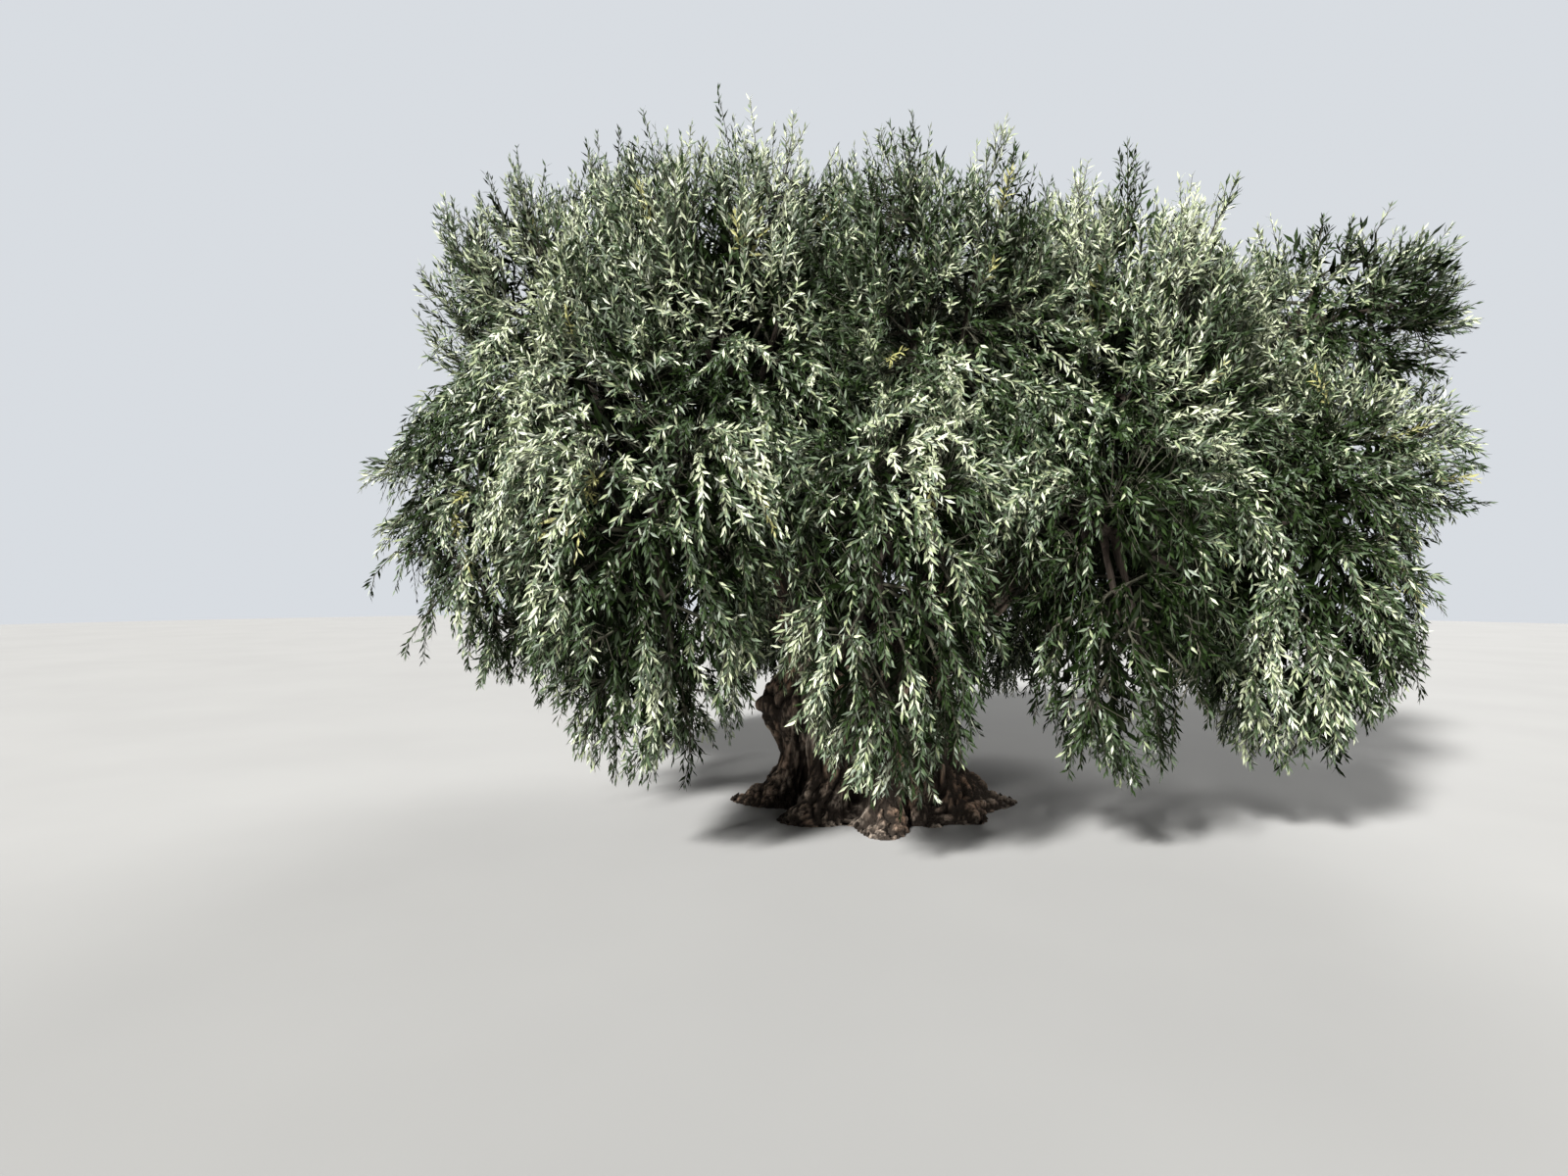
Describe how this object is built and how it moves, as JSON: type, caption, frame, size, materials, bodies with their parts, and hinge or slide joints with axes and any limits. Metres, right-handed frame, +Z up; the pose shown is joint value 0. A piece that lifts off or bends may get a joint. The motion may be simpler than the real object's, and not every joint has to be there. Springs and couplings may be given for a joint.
{
  "type": "olive tree",
  "caption": "Old, broad olive tree: a squat trunk with a flared foot, forking boughs and a dense crown whose lower foliage weeps almost to the ground.",
  "frame": {"origin": "middle of the flat cut under the trunk, at ground level", "axes": "+Z up along the trunk, +X along the widest reach of the crown, to the right in the picture, +Y away from the viewer"},
  "size_m": [7.3893, 4.7751, 4.8408],
  "materials": {
    "trunk_bark": "rough, deeply fissured bark",
    "bough_bark": "rough grey bark",
    "foliage": "leathery leaves, silvery beneath"
  },
  "bodies": {
    "root": {"trunk": "trunk_bark", "bough_front_left": "bough_bark", "bough_left": "bough_bark", "bough_back_left": "bough_bark", "bough_back_right": "bough_bark", "bough_right": "bough_bark", "bough_front_right": "bough_bark", "limb_curtain_front": "bough_bark", "limb_curtain_front_left": "bough_bark", "limb_crown_front_left": "bough_bark", "limb_curtain_left": "bough_bark", "limb_crown_left": "bough_bark", "limb_curtain_back_left": "bough_bark", "limb_crown_back_left": "bough_bark", "limb_curtain_back": "bough_bark", "limb_crown_back": "bough_bark", "limb_crown_back_right": "bough_bark", "limb_curtain_back_right": "bough_bark", "limb_curtain_far_right": "bough_bark", "limb_shelf_right": "bough_bark", "limb_billow_right": "bough_bark", "limb_curtain_right": "bough_bark", "limb_crown_front_right": "bough_bark", "limb_curtain_front_right": "bough_bark", "limb_crown_front": "bough_bark", "curtain_front": "foliage", "curtain_front_left": "foliage", "crown_front_left": "foliage", "curtain_left": "foliage", "crown_left": "foliage", "curtain_back_left": "foliage", "crown_back_left": "foliage", "curtain_back": "foliage", "crown_back": "foliage", "crown_back_right": "foliage", "curtain_back_right": "foliage", "curtain_far_right": "foliage", "shelf_right": "foliage", "billow_right": "foliage", "curtain_right": "foliage", "crown_front_right": "foliage", "curtain_front_right": "foliage", "crown_front": "foliage"}
  },
  "joints": []
}
